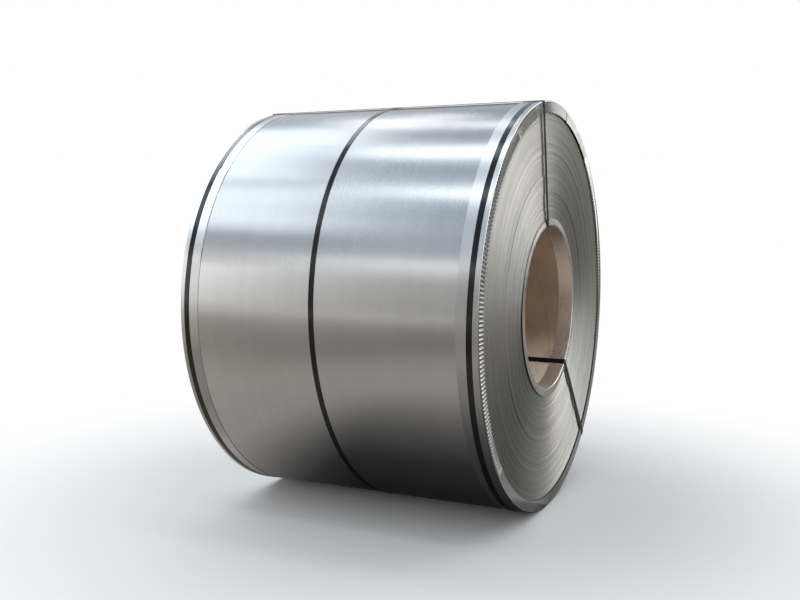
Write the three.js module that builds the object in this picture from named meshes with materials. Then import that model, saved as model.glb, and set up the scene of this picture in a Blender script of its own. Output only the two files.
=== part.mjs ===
// A packed coil of steel strip, lying on its side with its bore along X.
//
// The strip is wound on a paperboard liner. Rings of thin sheet guard its four corners, and
// steel strapping holds everything: three girth straps round the coil, and two eye straps
// through the bore. Each strap's ends overlap inside a crimped seal. The origin is on the
// floor, below the middle of the coil. Lengths are in millimetres and angles in degrees. An
// angle round the coil runs from +Y towards +Z, so 90 is the top. The +X end is "near".

import * as THREE from "three";

// The wound strip.
const STRIP_WIDTH = 914;
const COIL_DIAMETER = 1244;
const BORE_DIAMETER = 508;

// Groups of turns that have slipped along the axis. Each reaches out to its share of the
// way between the rings' flanges. One that stands proud at the near end is set back by as
// much at the far end.
const TURN_GROUPS = [
  { outTo: 0.08, slip: 0 },
  { outTo: 0.25, slip: -0.8 },
  { outTo: 0.395, slip: 0.5 },
  { outTo: 0.42, slip: 1 },
  { outTo: 0.62, slip: -0.6 },
  { outTo: 0.83, slip: 0.4 },
];

// The paperboard sleeve in the bore.
const LINER_THICKNESS = 2.8;

// Corner rings, of one gauge of sheet, bent to an L. The skirt lies along the coil. The
// flange covers the edge of its end and stands off it a little.
const RING_SHEET = 0.8;
const RING_BEND = 1.6;
const RING_STANDOFF = 3.5;
const OUTER_RING_SKIRT = 61;
const OUTER_RING_FLANGE = 35;
const INNER_RING_SKIRT = 48;
const INNER_RING_FLANGE = 24;

// An outer ring is a strip whose end laps over its start. Its flange is crimped into
// flutes, apart from stretches given as angles from the end that lies on top.
const RING_LAP = 25;
const NEAR_RING_END = 77;
const FAR_RING_END = 138;
const FLUTE_SIDES_PER_FACET = 9;
const PLAIN_STRETCHES = [
  [0, 45],
  [145, 258],
  [333, 390],
];

// Steel strapping. An inset is from the coil's end to the middle of the strap. A lean is
// how far the strap strays along the axis, most of all towards the angle given with it.
const GIRTH_STRAP_WIDTH = 16;
const EYE_STRAP_WIDTH = 19;
const STRAP_THICKNESS = 0.8;
const STRAP_LAP = 5;
const NEAR_STRAP_INSET = 29;
const NEAR_STRAP_LEAN = 12;
const FAR_STRAP_INSET = 16;
const FAR_STRAP_LEAN = 2;
const MIDDLE_STRAP_OFFSET = -15;
const MIDDLE_STRAP_LEAN = 16;
const EYE_STRAP_ANGLES = [100, -50];
const EYE_STRAP_LAP = 60;

// Seals: sleeves of sheet folded round both layers of a strap, open along a seam below. An
// eye strap's seal is on the far end, over the middle of a group of turns.
const SEAL_LENGTH = 30;
const SEAL_SHEET = 0.8;
const SEAL_SEAM = 5;
const EYE_SEAL_GROUP = 2;

// The play between pieces that touch, and how finely round things are divided.
const SEAT_GAP = 0.3;
const FACETS = 72;
const BEND_STEPS = 3;

// Sizes that follow. A radius is that of a facet's corners.
const FACET_ANGLE = 360 / FACETS;
const CORNER_TO_FLAT = Math.cos(Math.PI / FACETS);
const coilRadius = COIL_DIAMETER / 2;
const boreRadius = BORE_DIAMETER / 2;
const halfWidth = STRIP_WIDTH / 2;
const outerRingInside = coilRadius + SEAT_GAP;
const outerRingOutside = outerRingInside + RING_SHEET;
const outerRingRim = outerRingOutside - OUTER_RING_FLANGE;
const linerOutside = boreRadius - SEAT_GAP;
const linerInside = linerOutside - LINER_THICKNESS;
const innerRingOutside = linerInside - SEAT_GAP;
const innerRingInside = innerRingOutside - RING_SHEET;
const innerRingRim = innerRingInside + INNER_RING_FLANGE;
const groupRadii = TURN_GROUPS.map(({ outTo }) =>
  THREE.MathUtils.lerp(innerRingRim, outerRingRim, outTo),
);
const eyeSealRadius = (groupRadii[EYE_SEAL_GROUP - 1] + groupRadii[EYE_SEAL_GROUP]) / 2;
const flangeBack = halfWidth + RING_STANDOFF;
const flangeFront = flangeBack + RING_SHEET;
const girthOnRing = outerRingOutside + SEAT_GAP;
const girthOnCoil = coilRadius + SEAT_GAP;
const restHeight = (girthOnRing + STRAP_THICKNESS) * CORNER_TO_FLAT;

// What a layer is lifted by to lie on another layer, or on a seal's lower lips.
const ringLapRise = RING_SHEET + SEAT_GAP;
const strapLapRise = STRAP_THICKNESS + SEAT_GAP;
const sealRise = SEAL_SHEET + SEAT_GAP;

// A crimp folds away the extra length that the sheet has at the bend over its rim.
const fluteCount = (FACETS * FLUTE_SIDES_PER_FACET) / 2;
const pitchAtBend = (2 * Math.PI * outerRingOutside) / fluteCount;
const pitchAtRim = (2 * Math.PI * outerRingRim) / fluteCount;
const fluteDepth = Math.sqrt(pitchAtBend ** 2 - pitchAtRim ** 2) / 2;

const RINGS = {
  near: { end: nearestCorner(NEAR_RING_END), side: 1 },
  far: { end: nearestCorner(FAR_RING_END), side: -1 },
};

const GIRTH_STRAPS = [
  {
    name: "near",
    along: halfWidth - NEAR_STRAP_INSET,
    lean: NEAR_STRAP_LEAN,
    leanTowards: 140,
    sealAngle: 35,
    ring: RINGS.near,
  },
  {
    name: "middle",
    along: MIDDLE_STRAP_OFFSET,
    lean: MIDDLE_STRAP_LEAN,
    leanTowards: 300,
    sealAngle: 25,
    ring: null,
  },
  {
    name: "far",
    along: FAR_STRAP_INSET - halfWidth,
    lean: FAR_STRAP_LEAN,
    leanTowards: 150,
    sealAngle: 45,
    ring: RINGS.far,
  },
];

function metal(color, roughness, metalness) {
  return new THREE.MeshStandardMaterial({ color, roughness, metalness });
}

const stripSteel = metal("#b9bec4", 0.28, 1);
const ringSteel = metal("#d4d7d9", 0.4, 1);
const strapSteel = metal("#191c22", 0.35, 0.4);
const sealSteel = metal("#23262c", 0.4, 0.6);
const paperboard = metal("#5a4334", 0.9, 0);

function named(name, geometry, material) {
  const mesh = new THREE.Mesh(geometry, material);
  mesh.name = name;
  return mesh;
}

// Flat pieces lie on the middle of one facet, and what is bent round the coil bends at the
// facets' corners.
function nearestFacet(angle) {
  return Math.round(angle / FACET_ANGLE) * FACET_ANGLE;
}

function nearestCorner(angle) {
  return nearestFacet(angle + FACET_ANGLE / 2) - FACET_ANGLE / 2;
}

function wholeFacets(angle) {
  return Math.max(1, Math.round(angle / FACET_ANGLE));
}

// How many whole facets on from one corner another lies, going round.
function facetsOn(from, to) {
  const count = Math.round((to - from) / FACET_ANGLE);
  return THREE.MathUtils.euclideanModulo(count, FACETS);
}

function around(radius, along, angle) {
  const turn = THREE.MathUtils.degToRad(angle);
  return new THREE.Vector3(along, radius * Math.cos(turn), radius * Math.sin(turn));
}

// Turns a closed section of [radius, along] points about X. The points run counter-clockwise
// with the radius to the right, and a flat facet comes at the very bottom.
function turned(section) {
  const points = section.map(([radius, along]) => new THREE.Vector2(radius, along));
  points.push(points[0].clone());
  const halfFacet = THREE.MathUtils.degToRad(FACET_ANGLE / 2);
  return new THREE.LatheGeometry(points, FACETS, halfFacet).rotateZ(-Math.PI / 2);
}

// Points of a bend round a centre in the section.
function bend([radius, along], size, fromAngle, toAngle) {
  return Array.from({ length: BEND_STEPS + 1 }, (_, step) => {
    const angle = fromAngle + ((toAngle - fromAngle) * step) / BEND_STEPS;
    const turn = THREE.MathUtils.degToRad(angle);
    return [radius + size * Math.cos(turn), along + size * Math.sin(turn)];
  });
}

// The end of the coil, from the bore outwards, as steps between the groups of turns.
function endSteps(side) {
  const points = [];
  let from = boreRadius;
  TURN_GROUPS.forEach(({ slip }, index) => {
    const along = side * halfWidth + slip;
    points.push([from, along], [groupRadii[index], along]);
    from = groupRadii[index];
  });
  points.push([from, side * halfWidth], [coilRadius, side * halfWidth]);
  return points;
}

function woundStrip() {
  return turned([...endSteps(-1), ...endSteps(1).reverse()]);
}

function boreLiner() {
  return turned([
    [linerInside, -halfWidth],
    [linerOutside, -halfWidth],
    [linerOutside, halfWidth],
    [linerInside, halfWidth],
  ]);
}

function innerRing() {
  const skirtEnd = flangeFront - INNER_RING_SKIRT;
  const bendCentre = [innerRingInside + RING_BEND, flangeFront - RING_BEND];
  return turned([
    [innerRingInside, skirtEnd],
    [innerRingOutside, skirtEnd],
    [innerRingOutside, flangeBack],
    [innerRingRim, flangeBack],
    [innerRingRim, flangeFront],
    ...bend(bendCentre, RING_BEND, 90, 180),
  ]);
}

// Bends a strip of any section round the coil, from its top end on over its own start. A
// row is one corner of the section all the way along, as point numbers for each facet.
class BentStrip {
  constructor(start, lapAngle) {
    this.start = start;
    this.lapFacets = wholeFacets(lapAngle);
    this.facets = FACETS + this.lapFacets;
    this.positions = [];
    this.triangles = [];
  }

  angleAt(corner) {
    return this.start + corner * FACET_ANGLE;
  }

  isOnTop(corner) {
    return corner <= this.lapFacets;
  }

  // pointsAt gives the points of a facet, from its first corner on.
  addRow(pointsAt) {
    return Array.from({ length: this.facets + 1 }, (_, corner) => {
      const points = pointsAt(corner);
      const used = corner === this.facets ? points.slice(0, 1) : points;
      return used.map((point) => {
        this.positions.push(point.x, point.y, point.z);
        return this.positions.length / 3 - 1;
      });
    });
  }

  // Fills the band between two rows, whose facets may be divided differently.
  joinRows(rowA, rowB) {
    for (let facet = 0; facet < this.facets; facet += 1) {
      const spanA = [...rowA[facet], rowA[facet + 1][0]];
      const spanB = [...rowB[facet], rowB[facet + 1][0]];
      this.fillFacet(spanA, spanB);
    }
  }

  fillFacet(spanA, spanB) {
    const lastA = spanA.length - 1;
    const lastB = spanB.length - 1;
    let a = 0;
    let b = 0;
    while (a < lastA || b < lastB) {
      const aIsBehind = (a + 0.5) * lastB <= (b + 0.5) * lastA;
      if (b === lastB || (a < lastA && aIsBehind)) {
        this.triangles.push(spanA[a], spanA[a + 1], spanB[b]);
        a += 1;
      } else {
        this.triangles.push(spanA[a], spanB[b + 1], spanB[b]);
        b += 1;
      }
    }
  }

  // Joins the section's rows in turn and caps both ends of the strip.
  close(section, rows) {
    rows.forEach((row, index) => this.joinRows(row, rows[(index + 1) % rows.length]));
    const outline = section.map(([radius, along]) => new THREE.Vector2(radius, along));
    for (const [a, b, c] of THREE.ShapeUtils.triangulateShape(outline, [])) {
      const last = this.facets;
      this.triangles.push(rows[a][0][0], rows[b][0][0], rows[c][0][0]);
      this.triangles.push(rows[a][last][0], rows[c][last][0], rows[b][last][0]);
    }
  }

  // The finished shape, mirrored along the axis for the far side.
  geometry(side) {
    const built = new THREE.BufferGeometry();
    built.setAttribute("position", new THREE.Float32BufferAttribute(this.positions, 3));
    built.setIndex(side > 0 ? this.triangles : [...this.triangles].reverse());
    built.scale(side, 1, 1);
    built.computeVertexNormals();
    return built;
  }
}

function isPlain(facet) {
  const angle = (facet + 0.5) * FACET_ANGLE;
  return PLAIN_STRETCHES.some(([from, to]) => angle > from && angle < to);
}

// One facet's share of a crimped rim, or just its first corner where it is plain.
function rimSteps(facet) {
  if (isPlain(facet)) {
    return [{ turn: 0, rise: 0 }];
  }
  const count = FLUTE_SIDES_PER_FACET;
  return Array.from({ length: count }, (_, step) => ({
    turn: (FACET_ANGLE * step) / count,
    rise: ((facet * count + step) % 2) * fluteDepth,
  }));
}

// The skirt is smooth, and the flange is pleated so that the sheet closes in at its rim.
function outerRing({ end, side }) {
  const strip = new BentStrip(end, RING_LAP);
  const skirtEnd = flangeFront - OUTER_RING_SKIRT;
  const bendCentre = [outerRingOutside - RING_BEND, flangeFront - RING_BEND];
  const section = [
    [outerRingInside, skirtEnd],
    [outerRingOutside, skirtEnd],
    ...bend(bendCentre, RING_BEND, 0, 90),
    [outerRingRim, flangeFront],
    [outerRingRim, flangeBack],
    [outerRingInside, flangeBack],
  ];
  const rows = section.map(([radius, along]) =>
    strip.addRow((corner) => {
      const lift = strip.isOnTop(corner) ? ringLapRise : 0;
      const steps = radius === outerRingRim ? rimSteps(corner) : [{ turn: 0, rise: 0 }];
      return steps.map(({ turn, rise }) =>
        around(radius + lift, along + lift + rise, strip.angleAt(corner) + turn),
      );
    }),
  );
  strip.close(section, rows);
  return strip.geometry(side);
}

// How much a ring's lap raises what lies over the ring, at one of its corners.
function liftAtCorner(ring, corner) {
  const onLap = ring !== null && facetsOn(ring.end, corner) <= wholeFacets(RING_LAP);
  return onLap ? ringLapRise : 0;
}

function liftOnFacet(ring, angle) {
  const corners = [angle - FACET_ANGLE / 2, angle + FACET_ANGLE / 2];
  return Math.max(...corners.map((corner) => liftAtCorner(ring, corner)));
}

function leanAt({ lean, leanTowards }, angle) {
  return lean * Math.cos(THREE.MathUtils.degToRad(angle - leanTowards));
}

function girthStrap(strap) {
  const { along, sealAngle, ring } = strap;
  const firstCorner = nearestFacet(sealAngle) - FACET_ANGLE / 2;
  const strip = new BentStrip(firstCorner, STRAP_LAP);
  const inside = ring ? girthOnRing : girthOnCoil;
  const outside = inside + STRAP_THICKNESS;
  const section = [
    [inside, along - GIRTH_STRAP_WIDTH / 2],
    [outside, along - GIRTH_STRAP_WIDTH / 2],
    [outside, along + GIRTH_STRAP_WIDTH / 2],
    [inside, along + GIRTH_STRAP_WIDTH / 2],
  ];
  const rows = section.map(([radius, place]) =>
    strip.addRow((corner) => {
      const angle = strip.angleAt(corner);
      const onSeal = facetsOn(firstCorner, angle) <= strip.lapFacets ? sealRise : 0;
      const onItself = strip.isOnTop(corner) ? strapLapRise : 0;
      const lift = onSeal + onItself + liftAtCorner(ring, angle);
      return [around(radius + lift, place + leanAt(strap, angle), angle)];
    }),
  );
  strip.close(section, rows);
  return strip.geometry(1);
}

// A sleeve for a strap of a width that runs along its Z, with the coil below it.
function seal(strapWidth) {
  const innerHalf = strapWidth / 2 + SEAT_GAP;
  const outerHalf = innerHalf + SEAL_SHEET;
  const floor = -SEAT_GAP;
  const ceiling = STRAP_THICKNESS + strapLapRise + SEAT_GAP;
  const outside = [
    [SEAL_SEAM / 2, floor - SEAL_SHEET],
    [outerHalf, floor - SEAL_SHEET],
    [outerHalf, ceiling + SEAL_SHEET],
  ];
  const inside = [
    [innerHalf, ceiling],
    [innerHalf, floor],
    [SEAL_SEAM / 2, floor],
  ];
  const mirrored = (points) => points.map(([x, y]) => [-x, y]).reverse();
  const outline = [...outside, ...mirrored(outside), ...mirrored(inside), ...inside];
  const shape = new THREE.Shape(outline.map(([x, y]) => new THREE.Vector2(x, y)));
  const sleeve = new THREE.ExtrudeGeometry(shape, { depth: SEAL_LENGTH, bevelEnabled: false });
  return sleeve.translate(0, 0, -SEAL_LENGTH / 2);
}

// Turns a seal to a girth strap's slant and sets it round both layers of the strap.
function girthSeal(strap) {
  const angle = nearestFacet(strap.sealAngle);
  const before = leanAt(strap, angle - FACET_ANGLE / 2);
  const after = leanAt(strap, angle + FACET_ANGLE / 2);
  const inside = (strap.ring ? girthOnRing : girthOnCoil) + sealRise;
  const facetWidth = 2 * inside * Math.sin(Math.PI / FACETS);
  const mesh = named(`girth_seal_${strap.name}`, seal(GIRTH_STRAP_WIDTH), sealSteel);
  const along = strap.along + (before + after) / 2;
  mesh.position.copy(around(inside * CORNER_TO_FLAT, along, angle));
  mesh.rotation.x = THREE.MathUtils.degToRad(angle);
  mesh.rotation.y = Math.atan2(after - before, facetWidth);
  return mesh;
}

// How far an outer ring's flange stands out, on the facet at an angle.
function flangeRise(ring, angle) {
  const facet = facetsOn(ring.end, angle - FACET_ANGLE / 2);
  return liftOnFacet(ring, angle) + (isPlain(facet) ? 0 : fluteDepth);
}

// The straight line of an eye strap down one end of the coil, as the distance along the
// axis at any radius: it is tight from the outer ring's rim to the inner ring's lip.
function eyeStrapFace(ring, angle) {
  const lipAlong = flangeFront + SEAT_GAP;
  const slope = flangeRise(ring, angle) / (outerRingRim - innerRingInside);
  return { slope, alongAt: (radius) => lipAlong + slope * (radius - innerRingInside) };
}

// An eye strap's inner side, in the plane of the axis and the radius. It starts on the far
// end of the coil, goes through the bore, up the near end and back along the top, and laps
// over its own start.
function eyeStrapPath(angle) {
  const near = eyeStrapFace(RINGS.near, angle);
  const far = eyeStrapFace(RINGS.far, angle);
  const onGirth = girthOnRing + STRAP_THICKNESS;
  const topAt = (ring) => (onGirth + liftOnFacet(ring, angle)) * CORNER_TO_FLAT + SEAT_GAP;
  const inBore = innerRingInside * CORNER_TO_FLAT - SEAT_GAP;
  const lapTop = eyeSealRadius + EYE_STRAP_LAP / 2;
  const lapFoot = eyeSealRadius - EYE_STRAP_LAP / 2;
  const onNear = (radius) => new THREE.Vector2(near.alongAt(radius), radius);
  const onFar = (radius, lift) => new THREE.Vector2(-far.alongAt(radius) - lift, radius);
  return [
    onFar(lapTop, 0),
    onFar(inBore, 0),
    onNear(inBore),
    onNear(topAt(RINGS.near)),
    onFar(topAt(RINGS.far), 0),
    onFar(lapTop + EYE_STRAP_LAP / 2, 0),
    onFar(lapTop + STRAP_THICKNESS, strapLapRise),
    onFar(lapFoot, strapLapRise),
  ];
}

function roundedPath(points, rounding) {
  const path = new THREE.Path();
  path.moveTo(points[0].x, points[0].y);
  for (let index = 1; index < points.length - 1; index += 1) {
    const corner = points[index];
    const back = points[index - 1].clone().sub(corner).setLength(rounding);
    const on = points[index + 1].clone().sub(corner).setLength(rounding);
    path.lineTo(corner.x + back.x, corner.y + back.y);
    path.quadraticCurveTo(corner.x, corner.y, corner.x + on.x, corner.y + on.y);
  }
  const last = points[points.length - 1];
  path.lineTo(last.x, last.y);
  return path.getPoints(BEND_STEPS);
}

// Gives a line of points a thickness to its right-hand side.
function thickened(points, thickness) {
  const outside = points.map((point, index) => {
    const before = points[Math.max(index - 1, 0)];
    const after = points[Math.min(index + 1, points.length - 1)];
    const into = point.clone().sub(before).normalize();
    const outOf = after.clone().sub(point).normalize();
    const ahead = into.clone().add(outOf).normalize();
    const straightness = Math.max(ahead.dot(into), ahead.dot(outOf));
    const away = new THREE.Vector2(ahead.y, -ahead.x);
    return point.clone().addScaledVector(away, thickness / straightness);
  });
  return new THREE.Shape([...points, ...outside.reverse()]);
}

function eyeStrap(angle) {
  const inside = roundedPath(eyeStrapPath(angle), RING_BEND + SEAT_GAP);
  const options = { depth: EYE_STRAP_WIDTH, bevelEnabled: false };
  const band = new THREE.ExtrudeGeometry(thickened(inside, STRAP_THICKNESS), options);
  return band.translate(0, 0, -EYE_STRAP_WIDTH / 2).rotateX(Math.PI / 2);
}

// An eye strap and its seal, built in an upright plane and turned to their facet.
function eyeStrapSet(wantedAngle, number) {
  const angle = nearestFacet(wantedAngle);
  const far = eyeStrapFace(RINGS.far, angle);
  const sleeve = named(`eye_seal_${number}`, seal(EYE_STRAP_WIDTH), sealSteel);
  sleeve.position.set(-far.alongAt(eyeSealRadius), 0, eyeSealRadius);
  sleeve.rotation.set(0, -Math.atan(far.slope), Math.PI / 2);
  const set = new THREE.Group();
  set.add(named(`eye_strap_${number}`, eyeStrap(angle), strapSteel), sleeve);
  set.rotation.x = THREE.MathUtils.degToRad(angle - 90);
  return set;
}

const coil = new THREE.Group();
coil.position.z = restHeight;
coil.add(named("wound_strip", woundStrip(), stripSteel));
coil.add(named("bore_liner", boreLiner(), paperboard));
for (const [end, ring] of Object.entries(RINGS)) {
  const inner = named(`inner_ring_${end}`, innerRing(), ringSteel);
  inner.rotation.z = ring.side > 0 ? 0 : Math.PI;
  coil.add(named(`outer_ring_${end}`, outerRing(ring), ringSteel), inner);
}
for (const strap of GIRTH_STRAPS) {
  coil.add(named(`girth_strap_${strap.name}`, girthStrap(strap), strapSteel), girthSeal(strap));
}
EYE_STRAP_ANGLES.forEach((angle, index) => coil.add(eyeStrapSet(angle, index + 1)));

export default coil;
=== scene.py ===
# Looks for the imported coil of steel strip. Lengths are in metres and angles in degrees.
#
# As in the part, the bore lies along X, the +X end is "near", and an angle round the coil
# runs from +Y towards +Z.

import math

import bmesh
import bpy
import numpy as np
from mathutils import Matrix, Vector


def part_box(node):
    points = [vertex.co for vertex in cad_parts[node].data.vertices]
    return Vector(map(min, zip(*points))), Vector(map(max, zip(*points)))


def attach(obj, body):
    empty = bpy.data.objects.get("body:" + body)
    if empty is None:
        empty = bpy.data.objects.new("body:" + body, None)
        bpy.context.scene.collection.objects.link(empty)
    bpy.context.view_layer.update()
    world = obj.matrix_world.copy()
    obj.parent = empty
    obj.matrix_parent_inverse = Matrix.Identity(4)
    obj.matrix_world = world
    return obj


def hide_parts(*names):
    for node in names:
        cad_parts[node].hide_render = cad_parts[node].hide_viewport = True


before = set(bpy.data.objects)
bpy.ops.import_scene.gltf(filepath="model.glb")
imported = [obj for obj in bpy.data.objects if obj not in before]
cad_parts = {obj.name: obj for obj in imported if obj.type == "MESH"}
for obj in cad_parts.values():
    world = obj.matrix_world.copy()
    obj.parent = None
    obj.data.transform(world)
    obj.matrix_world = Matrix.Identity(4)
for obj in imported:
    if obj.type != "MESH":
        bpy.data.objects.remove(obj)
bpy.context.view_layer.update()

MM = 0.001

# ---------------- sizes

# Sizes repeated from the part's source.
SEAT_GAP = 0.3 * MM
LINER = 2.8 * MM
RING_SHEET = 0.8 * MM
RING_BEND = 1.6 * MM
RING_STANDOFF = 3.5 * MM
OUTER_SKIRT = 61 * MM
OUTER_FLANGE = 35 * MM
INNER_SKIRT = 48 * MM
INNER_FLANGE = 24 * MM
RING_LAP = 25.0
FLUTES = 324
GIRTH_WIDTH = 16 * MM
EYE_WIDTH = 19 * MM
EYE_LAP = 60 * MM
STRAP_SHEET = 0.8 * MM
SEAL_SHEET = 0.8 * MM
SEAL_LENGTH = 30 * MM
SEAL_SEAM = 5 * MM

# The part's facets have their corners at its radii. A smooth round piece keeps to the
# middles of the facets, so that it stays inside the part.
FACET = 5.0
FLAT = math.cos(math.radians(FACET / 2))

# The coil, as packed.
COIL_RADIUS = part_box("wound_strip")[1].y / FLAT
HALF_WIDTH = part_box("bore_liner")[1].x
LINER_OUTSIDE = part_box("bore_liner")[1].y / FLAT

# Sizes that follow.
BORE_RADIUS = LINER_OUTSIDE + SEAT_GAP
RING_INSIDE = COIL_RADIUS + SEAT_GAP
RING_OUTSIDE = RING_INSIDE + RING_SHEET
RING_RIM = RING_OUTSIDE - OUTER_FLANGE
LINER_INSIDE = LINER_OUTSIDE - LINER
INNER_OUTSIDE = LINER_INSIDE - SEAT_GAP
INNER_INSIDE = INNER_OUTSIDE - RING_SHEET
INNER_RIM = INNER_INSIDE + INNER_FLANGE
FLANGE_BACK = HALF_WIDTH + RING_STANDOFF
FLANGE_FRONT = FLANGE_BACK + RING_SHEET
GIRTH_ON_RING = RING_OUTSIDE + SEAT_GAP
GIRTH_ON_COIL = COIL_RADIUS + SEAT_GAP
AXIS_HEIGHT = (GIRTH_ON_RING + STRAP_SHEET) * FLAT
LAP_RISE = RING_SHEET + SEAT_GAP
PITCH_AT_BEND = 2 * math.pi * RING_OUTSIDE / FLUTES
PITCH_AT_RIM = 2 * math.pi * RING_RIM / FLUTES
FLUTE_DEPTH = math.sqrt(PITCH_AT_BEND**2 - PITCH_AT_RIM**2) / 2

# Groups of turns: the share of the way between the rings that each reaches out to, and its
# slip along the axis. The eye straps' seals lie over the middle of the third.
TURN_GROUPS = [
    (0.08, 0.0), (0.25, -0.8 * MM), (0.395, 0.5 * MM), (0.42, 1 * MM), (0.62, -0.6 * MM),
    (0.83, 0.4 * MM),
]
EYE_SEAL_SHARE = (TURN_GROUPS[1][0] + TURN_GROUPS[2][0]) / 2
EYE_SEAL_RADIUS = INNER_RIM + EYE_SEAL_SHARE * (RING_RIM - INNER_RIM)

# Where the upper end of each outer ring's lap lies, and which way along X its flange faces.
RING_ENDS = {"near": 77.5, "far": 137.5}
SIDES = {"near": 1, "far": -1}

# The girth straps: place along the axis, how far and towards which angle a strap leans, the
# seal's angle, and the ring that the strap lies on.
GIRTHS = {
    "near": dict(along=428 * MM, lean=12 * MM, towards=140, seal=35, ring="near"),
    "middle": dict(along=-15 * MM, lean=16 * MM, towards=300, seal=25, ring=None),
    "far": dict(along=-441 * MM, lean=2 * MM, towards=150, seal=45, ring="far"),
}

# The angles of the straps through the bore.
EYES = {"1": 100.0, "2": -50.0}

# ---------------- the pieces' own shapes

# The rings' smooth bend, and where the flange and the skirt beside it are flat.
SOFT_BEND = 3 * MM
FLAT_FLANGE = 4 * MM
FLAT_SKIRT = 20 * MM

# Stretches of an outer ring's flange without crimps, at angles from its upper end. Two reach
# past the ring's ends. The middle one is a little longer than the part's.
PLAIN = [(-5.0, 45.0), (145.0, 266.0), (333.0, 390.0)]

# How far the crimps' valleys lie below the plain flange. On the coil's +Y side they come
# down almost to the strip, from this far in from the skirt.
CRIMP_FOOT = 1.5 * MM
DEEP_FOOT = RING_STANDOFF - SEAT_GAP
TURNED_FROM = 27 * MM

# A span is four angles: a form rises over the first two and falls over the last two. Where
# the rim is turned down, in angles round the coil:
TURNED_DOWN = (-46, -38, 46, 54)
# In angles from a ring's upper end, where the rim stands loose beside the lap, and less so
# on the lap itself, and where the flange is wider after it:
LOOSE_SPAN = (-29, -23, 44.8, 45.4)
LOOSE_RISE = 1.9 * MM
LAPPED_SPAN = (-6, 0, RING_LAP, RING_LAP + FACET)
LAPPED_RISE = 1.05 * MM
WIDE_SPAN = (RING_LAP + 1.5, RING_LAP + 6, 52, 68)
WIDE_BY = 5 * MM

# The inner rings' lips are drawn in to this gap, apart from a span round the coil.
LIP_GAP = 0.5 * MM
LOOSE_LIP = (150, 185, 280, 300)

# How far past the ends of a lap or a seal the layer over it is still fully raised.
RAISED_BEFORE_RING = 0.3
RAISED_AFTER_RING = 0.4
RAISED_PAST_SEAL = 0.2

# The coil's ends show bundles of a few turns. The last begins at least this far within the
# outside. Those under a flange are set back.
BUNDLE_WIDTHS = [width * MM for width in (1.6, 2.4, 3.2, 4.8, 6.4)]
BUNDLE_GAP = 0.15 * MM
LAST_BUNDLE = 1.5 * MM
SLIP_SPREAD = 0.16 * MM
MOST_SLIP = 1.2 * MM
COVERED_SETBACK = 0.3 * MM

# The coil's outside, which stops short of its edges, and is divided evenly within a reach.
SKIN_EDGE = 0.4 * MM
SKIN_REACH = 0.42

# The jaws that press a seal: offset from its middle, width, and depth in sheets.
JAW_OFFSET = 7 * MM
JAW_WIDTH = 1.7 * MM
JAW_DEPTH = 0.7

# Rounded corners of the seals, and eased edges of the straps and of the liner.
SEAL_CORNER = 1.2 * SEAL_SHEET
STRAP_EASE = 0.25 * MM
LINER_EASE = 0.5 * MM

# How finely the pieces are divided, and the angle between faces that makes an edge sharp.
STRIP_STEPS = 240
ROUND_STEPS = 360
GIRTH_STEPS = 876
CRIMP_STEPS = 6
SEAL_STEPS = 49
SHARP_ANGLE = 32.0

# ---------------- painted light and shade round the coil

# Painted light and shade: how bright the pieces are painted at angles round the coil: the
# outer rings' flanges, at the rim and at the corner, their skirts, the coil's ends, and the
# inner rings' flanges and skirts.
FLANGE_ABOVE = [
    (0, 0.7), (15, 0.42), (30, 0.44), (42, 0.56), (54, 1.0), (66, 1.0), (76, 0.74), (88, 0.46),
    (95, 0.28),
]
FLANGE_BELOW = [
    (256, 1.0), (272, 0.4), (286, 0.53), (302, 1.0), (316, 0.78), (330, 0.8), (343, 1.0),
    (360, 0.7),
]
RIM_TONES = FLANGE_ABOVE + [
    (106, 0.33), (120, 0.34), (125, 0.8), (132, 1.0), (160, 1.0), (168, 0.85), (180, 0.45),
    (190, 0.24), (200, 0.22), (210, 0.3), (220, 0.5), (232, 0.9),
] + FLANGE_BELOW
CORNER_TONES = FLANGE_ABOVE + [
    (106, 0.36), (120, 0.26), (132, 0.13), (144, 0.15), (160, 0.46), (176, 0.6), (188, 0.4),
    (208, 0.4), (220, 0.75), (232, 1.0),
] + FLANGE_BELOW
SKIRT_TONES = [
    (0, 1.0), (158, 1.0), (168, 0.66), (178, 0.7), (186, 0.75), (192, 0.55), (205, 0.48),
    (214, 0.58), (224, 0.85), (250, 0.85), (300, 1.0), (360, 1.0),
]
END_TONES = [
    (0, 0.69), (20, 0.65), (45, 0.57), (70, 0.56), (90, 0.63), (105, 0.58), (120, 0.52),
    (140, 0.47), (155, 0.57), (180, 0.69), (205, 0.77), (230, 0.7), (250, 0.85), (270, 0.95),
    (285, 0.91), (315, 0.97), (330, 0.92), (345, 0.79), (360, 0.69),
]
BORE_FLANGE_TONES = [
    (0, 0.7), (50, 0.7), (70, 0.85), (95, 0.55), (107, 0.46), (120, 0.3), (135, 0.16),
    (150, 0.32), (165, 0.42), (185, 0.8), (270, 0.9), (330, 0.95), (360, 0.7),
]
BORE_SKIRT_TONES = [
    (0, 1.0), (38, 1.0), (52, 0.9), (62, 0.6), (110, 0.45), (160, 1.0), (360, 1.0),
]

# Stretches between two angles: painted shade at the mouths of the near crimps, counted from a
# start before them, painted shade in the flutes, and flanges that are dull, or worn near their
# rims.
MOUTH_SHADE_START = -20
SHADED_MOUTHS = (-16, 50)
SHADED_FLUTES = (112, 225)
DULL = (40, 86)
WORN = (172.8, 226.8)

# How wide the painted shade is that stands for the open end of a ring's lap.
LAP_SHADE = 1.0

# The radius of some pale turns, and the spiral joint in the liner, which fades between two
# cosines of the angle from its middle.
PALE_TURNS = 401 * MM
JOINT_PITCH = 0.36
JOINT_BESIDE = 0.99990
JOINT_ON = 0.99998

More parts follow.
